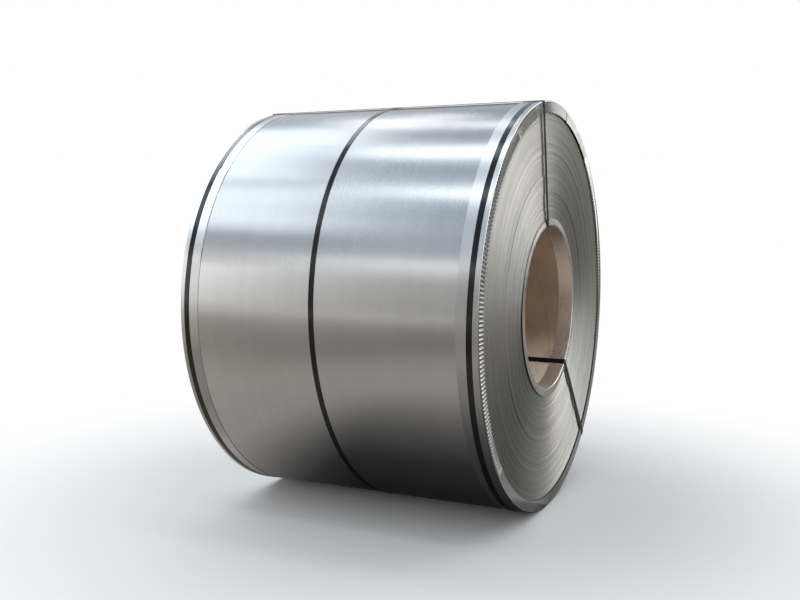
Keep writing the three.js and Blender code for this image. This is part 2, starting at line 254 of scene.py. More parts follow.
# Sheet: darkest and lightest colour, least and most roughness. Paint: its colour, and that
# of its scuffs.
SKIRT_SHEET = ((0.80, 0.805, 0.82), (0.85, 0.855, 0.87), 0.275, 0.295)
FLANGE_SHEET = ((0.76, 0.76, 0.75), (0.90, 0.90, 0.89), 0.15, 0.21)
STRAP_BLACK = ((0.003, 0.0033, 0.004), (0.05, 0.05, 0.05))
SEAL_GREY = ((0.02, 0.021, 0.024), (0.15, 0.15, 0.15))

# ---------------- studio sizes

# The camera looks this far down, and is turned this far from +Y towards -X.
CAMERA_PLACE = (1.3160, -2.8528, 0.9294)
CAMERA_DOWN = 5.491
CAMERA_TURN = 25.632
CAMERA_LENS = 43.316

COOL = (0.905, 0.97, 1.025)
WHITE = (1.0, 1.0, 1.0)
WARM = (1.0, 0.98, 0.93)

# Lamps under the ceiling, facing down: stretch along X and along Y, radiance and colour.
CEILING = 3.6
CEILING_LAMPS = {
    "softbox_left_a": ((-4.4, -1.65), (-2.1, -1.25), 1.5, COOL),
    "softbox_left_d": ((-4.4, -1.95), (-3.1, -2.1), 1.5, COOL),
    "softbox_left_b": ((-4.4, -1.65), (-1.02, 1.6), 1.6, COOL),
    "softbox_left_c": ((-3.05, -2.4), (-3.6, -3.13), 1.4, COOL),
    "strip_top": ((-1.24, 2.2), (-0.34, 0.10), 2.5, COOL),
    "strip_front": ((-1.15, 2.2), (-1.81, -1.42), 2.7, COOL),
    "strip_back_a": ((-1.64, -1.40), (0.35, 1.60), 2.1, WHITE),
    "strip_back_b": ((-1.82, -1.40), (1.62, 2.33), 2.2, WHITE),
    "strip_back_c": ((-1.50, -1.15), (2.35, 2.75), 2.5, WHITE),
    "strip_back_d": ((-1.38, -1.15), (1.20, 2.33), 2.3, WHITE),
    "strip_back_e": ((-0.83, -0.35), (1.02, 1.45), 2.1, WHITE),
}

# Standing lamps: place, the point that each faces, size, radiance and colour.
SIDE_LAMPS = {
    "softbox_low": ((-3.9, -4.4, 1.80), (-0.43, -0.5, 0.95), (1.8, 1.1), 1.4, WARM),
    "strip_low": ((-1.0, -3.45, 2.16), (0.0, -0.6, 0.9), (1.7, 0.2), 1.3, COOL),
    "softbox_right": ((2.95, 2.85, 1.75), (0.457, 0.0, 0.62), (1.9, 1.5), 3.3, WARM),
    "softbox_behind": ((2.0, 3.9, 2.7), (0.457, 0.0, 0.62), (1.0, 1.3), 1.6, WARM),
}

# The floor's radii, and the distances between which it turns from matte to plain white.
FLOOR_RADII = (3.0, 60.0)
FLOOR_SIDES = 128
MATTE_TO = 0.7
WHITE_FROM = 1.9

# The flag round the coil: radii of its flat part, its height, and that of its upright rim.
FLAG_RADII = (0.02, 1.0, 3.0, 6.5)
FLAG_SIDES = 96
FLAG_LIFT = 0.002
FLAG_RIM = 0.75

# Upright flags: place along Y, and outline as [x, z] points.
BACK_FLAG_Y = 6.4
BACK_FLAG = [(-7.0, 0.0), (3.8, 0.0), (3.8, 4.2), (-7.0, 4.2)]
FRONT_FLAG_Y = -3.5
FRONT_FLAG = [
    (-3.3, 0.6), (2.2, 0.6), (2.2, 1.74), (-1.2, 1.78), (-1.6, 1.90), (-1.95, 1.90),
    (-3.3, 1.76),
]
UPPER_FLAG = [(-3.6, 2.15), (-1.95, 2.08), (-1.95, 2.7), (-3.6, 2.7)]


# ---------------- node helpers


class Nodes:
    """Builds a node tree. An input is a number, a colour or a node's output."""

    def __init__(self, tree):
        self.tree = tree
        tree.nodes.clear()

    def add(self, kind, inputs=(), **settings):
        node = self.tree.nodes.new(kind)
        for key, value in settings.items():
            setattr(node, key, value)
        for key, value in dict(inputs).items():
            self.put(node.inputs[key], value)
        return node

    def put(self, socket, value):
        if isinstance(value, bpy.types.NodeSocket):
            self.tree.links.new(value, socket)
        else:
            socket.default_value = value

    def math(self, operation, a, b=0.0):
        return self.add("ShaderNodeMath", {0: a, 1: b}, operation=operation).outputs[0]

    def times(self, a, b):
        return self.math("MULTIPLY", a, b)

    def weigh(self, a, b, share):
        """A mix of two values, with this share of the first."""
        return self.math("ADD", self.times(a, share), self.times(b, 1 - share))

    def length(self, vector):
        node = self.add("ShaderNodeVectorMath", {0: vector}, operation="LENGTH")
        return node.outputs["Value"]

    def remap(self, value, low, high, to_low=0.0, to_high=1.0, smooth=True):
        kind = "SMOOTHSTEP" if smooth else "LINEAR"
        ends = {"From Min": low, "From Max": high, "To Min": to_low, "To Max": to_high}
        node = self.add("ShaderNodeMapRange", {"Value": value, **ends}, interpolation_type=kind)
        return node.outputs["Result"]

    def noise(self, vector, scale, detail, rough):
        inputs = {"Vector": vector, "Scale": scale, "Detail": detail, "Roughness": rough}
        return self.add("ShaderNodeTexNoise", inputs).outputs["Fac"]

    def mix(self, factor, a, b, blend="MIX"):
        inputs = {0: factor, 6: a, 7: b}
        node = self.add("ShaderNodeMix", inputs, data_type="RGBA", blend_type=blend)
        return node.outputs[2]

    def ramp(self, value, stops):
        """Colours along a value. Each stop is a place from 0 to 1 and a colour."""
        node = self.add("ShaderNodeValToRGB", {"Fac": value})
        elements = node.color_ramp.elements
        while len(elements) < len(stops):
            elements.new(0.5)
        for element, (position, color) in zip(elements, stops):
            element.position = position
            element.color = (*color, 1.0)
        return node.outputs["Color"]

    def ramp_between(self, value, low, high, stops):
        """Colours along a value from low to high, with the stops in the value's own unit."""
        share = self.remap(value, low, high, smooth=False)
        return self.ramp(share, [((at - low) / (high - low), color) for at, color in stops])

    def combine(self, x, y, z):
        return self.add("ShaderNodeCombineXYZ", {0: x, 1: y, 2: z}).outputs[0]

    def separate(self, vector):
        return self.add("ShaderNodeSeparateXYZ", {0: vector}).outputs

    def place(self):
        """The point's place, in metres."""
        return self.add("ShaderNodeTexCoord").outputs["Object"]

    def bump(self, height, distance, strength):
        inputs = {"Height": height, "Distance": distance, "Strength": strength}
        return self.add("ShaderNodeBump", inputs).outputs[0]

    def glow(self, color):
        return self.add("ShaderNodeEmission", {"Color": color, "Strength": 1.0})

    def finish(self, shader):
        """Makes a shader the material's surface."""
        self.put(self.add("ShaderNodeOutputMaterial").inputs["Surface"], shader.outputs[0])


# ---------------- camera and studio


def link(name, data):
    thing = bpy.data.objects.new(name, data)
    bpy.context.scene.collection.objects.link(thing)
    return thing


def make_camera():
    data = bpy.data.cameras.new("camera")
    data.lens = CAMERA_LENS
    data.sensor_width = 36.0
    data.clip_end = 200.0
    camera = link("camera", data)
    camera.location = CAMERA_PLACE
    camera.rotation_euler = (math.radians(90 - CAMERA_DOWN), 0.0, math.radians(CAMERA_TURN))
    bpy.context.scene.camera = camera


def make_world():
    """A pale studio: white to the height of the camera's view, a softer ceiling above."""
    world = bpy.data.worlds.new("studio")
    bpy.context.scene.world = world
    world.use_nodes = True
    n = Nodes(world.node_tree)
    direction = n.add("ShaderNodeTexCoord").outputs["Generated"]
    color = n.ramp(n.separate(direction)[2], [
        (0.0, WHITE),
        (0.33, WHITE),
        (0.46, (0.46, 0.52, 0.58)),
        (0.66, (0.37, 0.435, 0.50)),
        (1.0, (0.36, 0.425, 0.49)),
    ])
    background = n.add("ShaderNodeBackground", {"Color": color, "Strength": 1.0})
    output = n.add("ShaderNodeOutputWorld")
    n.put(output.inputs["Surface"], background.outputs[0])


def area_lamp(name, place, size, radiance, color):
    data = bpy.data.lights.new(name, "AREA")
    data.shape = "RECTANGLE"
    data.size, data.size_y = size
    data.energy = radiance * math.pi * size[0] * size[1]
    data.color = color
    lamp = link(name, data)
    lamp.location = place
    return lamp


def make_lamps():
    for name, (x_range, y_range, radiance, color) in CEILING_LAMPS.items():
        place = (sum(x_range) / 2, sum(y_range) / 2, CEILING)
        size = (x_range[1] - x_range[0], y_range[1] - y_range[0])
        area_lamp(name, place, size, radiance, color)
    for name, (place, target, size, radiance, color) in SIDE_LAMPS.items():
        lamp = area_lamp(name, place, size, radiance, color)
        away = Vector(place) - Vector(target)
        lamp.rotation_euler = away.to_track_quat("Z", "Y").to_euler()


def stage_mesh(name, verts, faces):
    mesh = bpy.data.meshes.new(name)
    mesh.from_pydata(verts, [], faces)
    thing = link(name, mesh)
    material = bpy.data.materials.new(name)
    material.use_nodes = True
    mesh.materials.append(material)
    return thing, Nodes(material.node_tree)


def circles(section, count):
    """Points round the Z axis, a circle of them for each [radius, height] of a section."""
    turn = np.linspace(0, 2 * np.pi, count, endpoint=False)
    return [(r * math.cos(t), r * math.sin(t), z) for r, z in section for t in turn]


def rings_between(first, last, count):
    """The faces between neighbouring circles of points, from the first circle to the last."""
    faces = []
    for k in range(first, last):
        for i in range(count):
            j = (i + 1) % count
            faces.append((k * count + i, (k + 1) * count + i, (k + 1) * count + j, k * count + j))
    return faces


def make_floor():
    """A pale floor that keeps the coil's shadow and runs out into the white backdrop."""
    count = FLOOR_SIDES
    verts = [(0.0, 0.0, 0.0)] + circles([(r, 0.0) for r in FLOOR_RADII], count)
    faces = [(0, 1 + i, 1 + (i + 1) % count) for i in range(count)]
    faces += [tuple(1 + k for k in face) for face in rings_between(0, 1, count)]
    n = stage_mesh("floor", verts, faces)[1]
    distance = n.length(n.place())
    path = n.add("ShaderNodeLightPath").outputs
    seen = n.math("MAXIMUM", path["Is Camera Ray"], path["Is Glossy Ray"])
    seen = n.math("MAXIMUM", seen, path["Is Transmission Ray"])
    white = n.times(seen, n.remap(distance, MATTE_TO, WHITE_FROM))
    matte = n.add("ShaderNodeBsdfDiffuse", {"Color": (0.93, 0.91, 0.885, 1.0)})
    glow = n.glow((*WHITE, 1.0))
    both = {0: white, 1: matte.outputs[0], 2: glow.outputs[0]}
    n.finish(n.add("ShaderNodeMixShader", both))


def only_reflected(flag, n, color):
    """Makes a stage object that only mirror-like surfaces see, of a set brightness."""
    n.finish(n.glow(color))
    for ray in ("camera", "diffuse", "transmission", "volume_scatter", "shadow"):
        setattr(flag, "visible_" + ray, False)


def floor_flag():
    """A disc just over the floor, with an upright rim. In front of the coil it is dark close
    by, a painted shadow of the coil, and paler further out."""
    section = [(r, FLAG_LIFT) for r in FLAG_RADII] + [(FLAG_RADII[-1], FLAG_RIM)]
    faces = rings_between(0, len(section) - 1, FLAG_SIDES)
    flag, n = stage_mesh("flag_floor", circles(section, FLAG_SIDES), faces)
    x, y, z = n.separate(n.place())
    beyond = n.remap(x, -0.66, -0.10, 0.85, 0.0, smooth=False)
    # Painted shadow of the coil close by, paler further out.
    front = n.ramp_between(n.math("ADD", n.math("ABSOLUTE", y), beyond), 0.0, 5.0, [
        (0.25, (0.012, 0.012, 0.013)),
        (0.48, (0.033, 0.033, 0.033)),
        (0.68, (0.118, 0.115, 0.112)),
        (0.94, (0.295, 0.28, 0.262)),
        (1.12, (0.40, 0.375, 0.34)),
        (1.75, (0.41, 0.375, 0.33)),
        (2.45, (0.245, 0.225, 0.195)),
        (3.75, (0.215, 0.203, 0.177)),
    ])
    rim = n.remap(z, 0.05, 0.1)
    front = n.mix(rim, front, (0.40, 0.375, 0.34, 1.0))
    left = n.remap(x, -2.4, -0.5, 1.9, 1.0, smooth=False)
    front = n.mix(1.0, front, n.combine(left, left, left), "MULTIPLY")
    behind = n.math("GREATER_THAN", y, 0.0)
    only_reflected(flag, n, n.mix(behind, front, (0.165, 0.165, 0.155, 1.0)))


def upright_flag(name, y, outline, axis, low, high, stops):
    """An upright flag whose brightness changes from low to high along one of its axes."""
    verts = [(x, y, z) for x, z in outline]
    flag, n = stage_mesh(name, verts, [tuple(range(len(verts)))])
    along = n.separate(n.place())[axis]
    only_reflected(flag, n, n.ramp_between(along, low, high, stops))


def make_flags():
    """Flags round the coil, which only reflections see, so that bright metal has darker
    and lighter things than the white set to show."""
    floor_flag()
    upright_flag("flag_back", BACK_FLAG_Y, BACK_FLAG, 2, 0.0, 4.0, [
        (2.0, (0.15, 0.15, 0.14)),
        (3.0, (0.36, 0.365, 0.37)),
    ])
    upright_flag("flag_front", FRONT_FLAG_Y, FRONT_FLAG, 0, -3.0, 0.0, [
        (-2.91, (1.62, 1.61, 1.59)),
        (-2.49, (1.24, 1.23, 1.21)),
        (-2.10, (0.60, 0.595, 0.58)),
        (-1.74, (0.41, 0.405, 0.39)),
        (-1.29, (0.36, 0.355, 0.34)),
        (-0.84, (0.41, 0.405, 0.39)),
    ])
    upright_flag("flag_above", FRONT_FLAG_Y, UPPER_FLAG, 0, -3.0, -2.0, [
        (-3.0, (0.90, 0.90, 0.89)),
        (-2.5, (0.30, 0.30, 0.29)),
        (-2.0, (0.22, 0.22, 0.21)),
    ])


# ---------------- mesh helpers


def around(radius, along, angle):
    """Points about the coil's axis. Each argument may be an array."""
    turn = np.radians(angle)
    along, radius, turn = np.broadcast_arrays(along, radius, turn)
    return np.stack([along, radius * np.cos(turn), AXIS_HEIGHT + radius * np.sin(turn)], -1)


def full_turn(steps):
    """Angles all round the coil, as a column."""
    return np.linspace(0, 360, steps, endpoint=False)[:, None]


def rows(section):
    """A section's radii and its places along the axis, each as a row."""
    return np.array(section).T[:, None, :]


def grid_piece(name, points, wrap_u, slots, kinds=None):
    """A closed piece from points[u, v]. v goes round the section, u along it, closed on itself
    or with both ends capped. Kinds give each v its material."""
    count_u, count_v = points.shape[:2]
    index = np.arange(count_u * count_v).reshape(count_u, count_v)
    ahead = np.roll(index, -1, 0) if wrap_u else index[1:]
    here = index if wrap_u else index[:-1]
    quads = np.stack([here, ahead, np.roll(ahead, -1, 1), np.roll(here, -1, 1)], -1)
    faces = quads.reshape(-1, 4).tolist()
    if not wrap_u:
        faces.append(index[0].tolist())
        faces.append(index[-1, ::-1].tolist())
    mesh = bpy.data.meshes.new(name)
    mesh.from_pydata(points.reshape(-1, 3).tolist(), [], faces)
    for material in slots:
        mesh.materials.append(material)
    if kinds is not None:
        per_face = np.tile(np.asarray(kinds), quads.shape[0])
        caps = [0] * (len(faces) - len(per_face))
        mesh.polygons.foreach_set("material_index", [*per_face.tolist(), *caps])
    return finish_mesh(name, mesh)


def finish_mesh(name, mesh):
    """Turns the faces outwards and shades them smooth, apart from sharp edges."""
    work = bmesh.new()
    work.from_mesh(mesh)
    bmesh.ops.recalc_face_normals(work, faces=work.faces)
    work.to_mesh(mesh)
    work.free()
    mesh.polygons.foreach_set("use_smooth", [True] * len(mesh.polygons))
    mesh.set_sharp_from_angle(angle=math.radians(SHARP_ANGLE))
    mesh.update()
    return link(name, mesh)


def dress(piece, node):
    """Puts a piece on the root body and hides the part's node that it stands for."""
    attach(piece, "root")
    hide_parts(node)


def bend(centre, size, start, end, steps=5):
    """An arc of a section, as points."""
    turns = np.radians(np.linspace(start, end, steps))
    return [(centre[0] + size * math.cos(t), centre[1] + size * math.sin(t)) for t in turns]


def smoothstep(value, low, high):
    t = np.clip((value - low) / (high - low), 0.0, 1.0)
    return t * t * (3 - 2 * t)


def within(angle, span):
    """0 outside a span of four angles and 1 between the middle two."""
    return smoothstep(angle, *span[:2]) * (1 - smoothstep(angle, *span[2:]))


def wrapped(angle):
    """The same angle, counted from -180 to 180."""
    return (angle + 180) % 360 - 180


# ---------------- the strip

SKIN, EDGES, COVERED = 0, 1, 2


def group_slip(radius):
    share = (radius - INNER_RIM) / (RING_RIM - INNER_RIM)
    for out_to, slip in TURN_GROUPS:
        if share < out_to:
            return slip
    return 0.0


def turn_edges(side, seed):
    """An end of the coil as [radius, along] points, with a small step from each bundle of
    turns to the next, and the kind of each point."""
    random = np.random.default_rng(seed)
    points = []
    kinds = []
    radius = BORE_RADIUS
    while radius < COIL_RADIUS - LAST_BUNDLE:
        outer = min(radius + random.choice(BUNDLE_WIDTHS), COIL_RADIUS)
        slip = group_slip((radius + outer) / 2) + random.normal(0.0, SLIP_SPREAD)
        along = side * HALF_WIDTH + np.clip(slip, -MOST_SLIP, MOST_SLIP)
        covered = outer < INNER_RIM or radius > RING_RIM
        if covered:
            along = side * (HALF_WIDTH - COVERED_SETBACK)
        points += [(radius, along), (outer - BUNDLE_GAP, along)]
        kinds += [COVERED if covered else EDGES] * 2
        radius = outer
    return points, kinds


def make_strip(skin, edges, covered):
    near, near_kinds = turn_edges(SIDES["near"], seed=7)
    far, far_kinds = turn_edges(SIDES["far"], seed=8)
    outside = [(COIL_RADIUS, HALF_WIDTH - SKIN_EDGE)]
    outside += [(COIL_RADIUS, x) for x in np.linspace(SKIN_REACH, -SKIN_REACH, 9)]
    outside += [(COIL_RADIUS, -HALF_WIDTH + SKIN_EDGE)]
    kinds = near_kinds + [SKIN] * (len(outside) - 1) + [COVERED] + far_kinds[::-1]
    radius, along = rows(near + outside + far[::-1])
    points = around(radius * FLAT, along, full_turn(STRIP_STEPS))
    piece = grid_piece("strip_coil", points, True, [skin, edges, covered], kinds)
    dress(piece, "wound_strip")


# ---------------- rings and liner


def ring_lift(ring, angle):
    """How far a ring's lap raises what lies over it, at angles round the coil."""
    if ring is None:
        return 0.0
    raised = (-FACET, -RAISED_BEFORE_RING, RING_LAP + RAISED_AFTER_RING, RING_LAP + FACET)
    return LAP_RISE * within(wrapped(angle - RING_ENDS[ring]), raised)


def flute_share(offset):
    """1 where the flange is crimped and 0 where it is plain, at angles from the top end."""
    share = np.ones_like(offset)
    for low, high in PLAIN:
        share = share * (1 - within(offset, (low - 1.0, low + 2.0, high - 0.2, high + 0.4)))
    return share


def crimp_rise(name, offset, radius):
    """How far the crimps rise above the plain flange, at angles from the top end. On the
    coil's +Y side the rim is turned down to the coil between them."""
    deep = within(wrapped(RING_ENDS[name] + offset), TURNED_DOWN)
    inwards = RING_OUTSIDE - radius
    begins = (2 + deep) * MM
    full = (15 + 8 * deep) * MM
    turned = deep * smoothstep(inwards, TURNED_FROM, OUTER_FLANGE)
    ridge = 0.5 - 0.5 * np.cos(2 * np.pi * offset * FLUTES / 360)
    valley = 1 - smoothstep(ridge, 0.15, 0.7)
    wave = ridge * (FLUTE_DEPTH + CRIMP_FOOT) - CRIMP_FOOT
    return wave * smoothstep(inwards, begins, full) - valley * (DEEP_FOOT - CRIMP_FOOT) * turned


def loose_rise(offset):
    """How far the flange's rim stands off the coil beside the lap, where it is plain."""
    on = wrapped(offset)
    lapped = within(on, LAPPED_SPAN)
    return within(on, LOOSE_SPAN) * (LOOSE_RISE + (LAPPED_RISE - LOOSE_RISE) * lapped)


def outer_ring_section():
    """An outer ring's section, and the kind of each point: 0 for the skirt, 1 for the
    flange's front, and 2 for its cut edge and what lies behind."""
    skirt_end = FLANGE_FRONT - OUTER_SKIRT
    skirt_line = FLANGE_FRONT - FLAT_SKIRT
    centre = (RING_OUTSIDE - SOFT_BEND, FLANGE_FRONT - SOFT_BEND)
    across = np.linspace(RING_OUTSIDE - FLAT_FLANGE, RING_RIM, 9)
    skirt = [(RING_INSIDE, skirt_end), (RING_OUTSIDE, skirt_end), (RING_OUTSIDE, skirt_line)]
    corner = bend(centre, SOFT_BEND, 0, 90, 7)
    front = [(r, FLANGE_FRONT) for r in across]
    back = [(r, FLANGE_BACK) for r in across[::-1]]
    inner_corner = bend(centre, SOFT_BEND - RING_SHEET, 90, 0)
    kinds = [0] * (len(skirt) + len(corner) - 1) + [1] * len(front)
    kinds += [2] * (len(back) + len(inner_corner) + 2)
    return skirt + corner + front + back + inner_corner + [(RING_INSIDE, skirt_line)], kinds


def make_outer_ring(name, materials):
    section, kinds = outer_ring_section()
    radius, along = rows(section)
    around_end = 360 + RING_LAP
    steps = int(around_end * FLUTES * CRIMP_STEPS / 360)
    offset = np.linspace(0, around_end, steps)[:, None]
    lean = (RING_OUTSIDE - radius - SOFT_BEND) / (OUTER_FLANGE - SOFT_BEND)
    lean = np.clip(lean, 0.0, 1.0)
    rise = crimp_rise(name, offset, radius) * flute_share(offset) + loose_rise(offset) * lean
    radius = radius - WIDE_BY * within(offset, WIDE_SPAN) * lean
    on_top = 1 - smoothstep(offset, RING_LAP + RAISED_AFTER_RING, RING_LAP + FACET)
    lift = LAP_RISE * on_top
    along = SIDES[name] * (along + lift + rise)
    points = around((radius + lift) * FLAT, along, RING_ENDS[name] + offset)
    piece = grid_piece("corner_ring_" + name, points, False, materials, kinds)
    dress(piece, "outer_ring_" + name)


def make_inner_ring(name, materials):
    """An inner ring. Only the cut edge of its flange has the second material."""
    skirt_end = FLANGE_FRONT - INNER_SKIRT
    centre = (INNER_INSIDE + SOFT_BEND, FLANGE_FRONT - SOFT_BEND)
    across = np.linspace(INNER_INSIDE + SOFT_BEND, INNER_RIM, 7)
    back = [(INNER_INSIDE, skirt_end), (INNER_OUTSIDE, skirt_end)]
    back += bend(centre, SOFT_BEND - RING_SHEET, 180, 90)
    back += [(r, FLANGE_BACK) for r in across[1:]]
    front = [(r, FLANGE_FRONT) for r in across[:0:-1]]
    front += bend(centre, SOFT_BEND, 90, 180, 9)
    kinds = [0] * (len(back) - 1) + [1] + [0] * len(front)
    radius, along = rows(back + front)
    angle = full_turn(ROUND_STEPS)
    depth = smoothstep(radius, INNER_INSIDE + SOFT_BEND, INNER_RIM)
    drawn = (RING_STANDOFF - LIP_GAP) * (1 - within(angle, LOOSE_LIP))
    points = around(radius * FLAT, SIDES[name] * (along - drawn * depth), angle)
    piece = grid_piece("bore_ring_" + name, points, True, materials, kinds)
    dress(piece, "inner_ring_" + name)


def make_liner(material):
    ease = LINER_EASE
    section = [(LINER_INSIDE, HALF_WIDTH - ease), (LINER_INSIDE + ease, HALF_WIDTH)]
    section += [(LINER_OUTSIDE - ease, HALF_WIDTH), (LINER_OUTSIDE, HALF_WIDTH - ease)]
    section += [(r, -x) for r, x in section[::-1]]
    radius, along = rows(section)
    points = around(radius * FLAT, along, full_turn(ROUND_STEPS))
    piece = grid_piece("liner_tube", points, True, [material])
    dress(piece, "bore_liner")


# ---------------- straps and seals


def strap_section(width):
    """A strap's section as [height, sideways] points, its corners eased."""
    half = width / 2
    eased = half - STRAP_EASE
    right = [(0.0, eased), (STRAP_EASE, half), (STRAP_SHEET - STRAP_EASE, half)]
    right += [(STRAP_SHEET, eased), (STRAP_SHEET, 0.0)]
    left = [(h, -s) for h, s in right[::-1][1:]]
    return right + left + [(0.0, 0.0)]


def make_girth(name, material):
    """A strap round the coil. It begins on its seal's lower lips, and its upper end lies a
    facet further on, over its start."""
    strap = GIRTHS[name]
    inside = GIRTH_ON_RING if strap["ring"] else GIRTH_ON_COIL
    offset = np.linspace(0, 360 + FACET, GIRTH_STEPS)[:, None]
    angle = strap["seal"] - FACET / 2 + offset
    raised_to = FACET + RAISED_PAST_SEAL
    on_seal = within(wrapped(offset), (-FACET, -RAISED_PAST_SEAL, raised_to, 2 * FACET))
    on_itself = 1 - smoothstep(offset, raised_to, 2 * FACET)
    lift = on_seal * (SEAL_SHEET + SEAT_GAP) + on_itself * (STRAP_SHEET + SEAT_GAP)
    lift = lift + ring_lift(strap["ring"], angle)
    section = np.array(strap_section(GIRTH_WIDTH))
    height, sideways = section[None, :, 0], section[None, :, 1]
    lean = strap["lean"] * np.cos(np.radians(angle - strap["towards"]))
    along = strap["along"] + lean + sideways
    points = around((inside + height + lift) * FLAT, along, angle)
    piece = grid_piece("band_" + name, points, False, [material])
    dress(piece, "girth_strap_" + name)


def lap_lift(ring, angle):
    """How far a ring's lap raises a strap that crosses it at an angle."""
    return LAP_RISE if (angle - RING_ENDS[ring]) % 360.0 <= RING_LAP + FACET / 2 else 0.0


def flange_rise(ring, angle):
    """How far a ring's lap and its crimps raise a strap that runs over its flange."""
    offset = (angle - RING_ENDS[ring]) % 360.0
    facet_middle = (math.floor(offset / FACET) + 0.5) * FACET
    plain = any(low < facet_middle < high for low, high in PLAIN)
    return lap_lift(ring, angle) + (0.0 if plain else FLUTE_DEPTH)


def eye_face(ring, angle):
    """The line that an eye strap follows over an end of the coil: its slope, and its place
    along the axis at a radius."""
    slope = flange_rise(ring, angle) / (RING_RIM - INNER_INSIDE)
    foot = FLANGE_FRONT + SEAT_GAP
    return slope, lambda radius: foot + slope * (radius - INNER_INSIDE)


def eye_path(angle):
    """The strap's inner side as [along, radius] points, as in the part."""
    near = eye_face("near", angle)[1]
    far = eye_face("far", angle)[1]
    on_girth = GIRTH_ON_RING + STRAP_SHEET
    top = {r: (on_girth + lap_lift(r, angle)) * FLAT + SEAT_GAP for r in RING_ENDS}
    in_bore = INNER_INSIDE * FLAT - SEAT_GAP
    lap_top = EYE_SEAL_RADIUS + EYE_LAP / 2
    lap_foot = EYE_SEAL_RADIUS - EYE_LAP / 2
    lift = STRAP_SHEET + SEAT_GAP
    return [
        (-far(lap_top), lap_top),
        (-far(in_bore), in_bore),
        (near(in_bore), in_bore),
        (near(top["near"]), top["near"]),
        (-far(top["far"]), top["far"]),
        (-far(lap_top + EYE_LAP / 2), lap_top + EYE_LAP / 2),
        (-far(lap_top + STRAP_SHEET) - lift, lap_top + STRAP_SHEET),
        (-far(lap_foot) - lift, lap_foot),
    ]


def rounded(points, size, steps=6):
    """Eases the corners of a line of points with a curve of the given size."""
    points = [np.array(p) for p in points]
    line = [points[0]]
    for before, corner, after in zip(points, points[1:], points[2:]):
        start = corner + (before - corner) / np.linalg.norm(before - corner) * size
        end = corner + (after - corner) / np.linalg.norm(after - corner) * size
        for t in np.linspace(0, 1, steps):
            line.append((1 - t) ** 2 * start + 2 * t * (1 - t) * corner + t * t * end)
    line.append(points[-1])
    return np.array(line)


def plane_points(path, height, sideways, angle):
    """Points of a band along a path in the plane of the axis and the radius, at an angle."""
    ahead = np.gradient(path, axis=0)
    ahead /= np.linalg.norm(ahead, axis=1)[:, None]
    away = np.stack([ahead[:, 1], -ahead[:, 0]], -1)
    flat = path[:, None, :] + away[:, None, :] * height[None, :, None]
    turn = math.radians(angle)
    across = sideways[None, :] + np.zeros(flat.shape[:2])
    y = flat[..., 1] * math.cos(turn) - across * math.sin(turn)
    z = flat[..., 1] * math.sin(turn) + across * math.cos(turn)
    return np.stack([flat[..., 0], y, AXIS_HEIGHT + z], -1)


def make_eye(number, material):
    angle = EYES[number]
    path = rounded(eye_path(angle), RING_BEND + SEAT_GAP)
    section = np.array(strap_section(EYE_WIDTH))
    points = plane_points(path, section[:, 0], section[:, 1], angle)
    piece = grid_piece("eye_band_" + number, points, False, [material])
    dress(piece, "eye_strap_" + number)


def seal_section(width):
    """A seal's folded sheet as two lines of [sideways, height] points, outside and inside."""
    half = width / 2 + SEAT_GAP + SEAL_SHEET
    low = -SEAT_GAP - SEAL_SHEET
    high = 2 * STRAP_SHEET + 2 * SEAT_GAP + SEAL_SHEET
    size = SEAL_CORNER
    lines = []
    for inset in (0.0, SEAL_SHEET):
        right = [(SEAL_SEAM / 2, low + inset)]
        right += bend((half - size, low + size), size - inset, -90, 0)
        right += bend((half - size, high - size), size - inset, 0, 90)
        lines.append(np.array(right + [(-x, y) for x, y in right[::-1]]))
    return lines


def make_seal(name, width, place, material):
    """A seal whose outside is pressed in across it by the two jaws of the crimping tool."""
    outside, inside = seal_section(width)
    length = np.linspace(-SEAL_LENGTH / 2, SEAL_LENGTH / 2, SEAL_STEPS)
    middles = (-JAW_OFFSET, JAW_OFFSET)
    jaws = sum(np.exp(-(((length - middle) / JAW_WIDTH) ** 2)) for middle in middles)
    pressed = outside + (inside - outside) * JAW_DEPTH * jaws[:, None, None]
    inner = np.broadcast_to(inside[::-1], pressed.shape)
    section = np.concatenate([pressed, inner], axis=1)
    along = np.broadcast_to(length[:, None, None], section[..., :1].shape)
    local = np.concatenate([section, along], axis=-1)
    matrix = np.array(place)
    points = local @ matrix[:3, :3].T + matrix[:3, 3]
    piece = grid_piece(name.replace("seal", "clip"), points, False, [material])
    dress(piece, name)


def girth_seal_place(name):
    """A girth seal's place: its Z runs along the strap and its Y away from the coil."""
    strap = GIRTHS[name]
    angle = strap["seal"]
    corners = [angle + side * FACET / 2 - strap["towards"] for side in (-1, 1)]
    lean = [strap["lean"] * math.cos(math.radians(corner)) for corner in corners]
    inside = (GIRTH_ON_RING if strap["ring"] else GIRTH_ON_COIL) + SEAL_SHEET + SEAT_GAP
    facet = 2 * inside * math.sin(math.radians(FACET / 2))
    spot = around(inside * FLAT, strap["along"] + sum(lean) / 2, angle)
    slant = math.atan2(lean[1] - lean[0], facet)
    turn = Matrix.Rotation(math.radians(angle), 4, "X") @ Matrix.Rotation(slant, 4, "Y")
    return Matrix.Translation(Vector(spot.tolist())) @ turn


def eye_seal_place(angle):
    """An eye seal's place, on the far end: its Z runs along the strap."""
    slope, far = eye_face("far", angle)
    spot = Vector((-far(EYE_SEAL_RADIUS), 0.0, EYE_SEAL_RADIUS))
    turn = Matrix.Rotation(-math.atan(slope), 4, "Y") @ Matrix.Rotation(math.pi / 2, 4, "Z")
    upright = Matrix.Translation(spot) @ turn
    turned = Matrix.Rotation(math.radians(angle - 90), 4, "X") @ upright
    return Matrix.Translation((0.0, 0.0, AXIS_HEIGHT)) @ turned


# ---------------- materials


def new_material(name):
    material = bpy.data.materials.new(name)
    material.use_nodes = True
    n = Nodes(material.node_tree)
    return material, n, n.place()


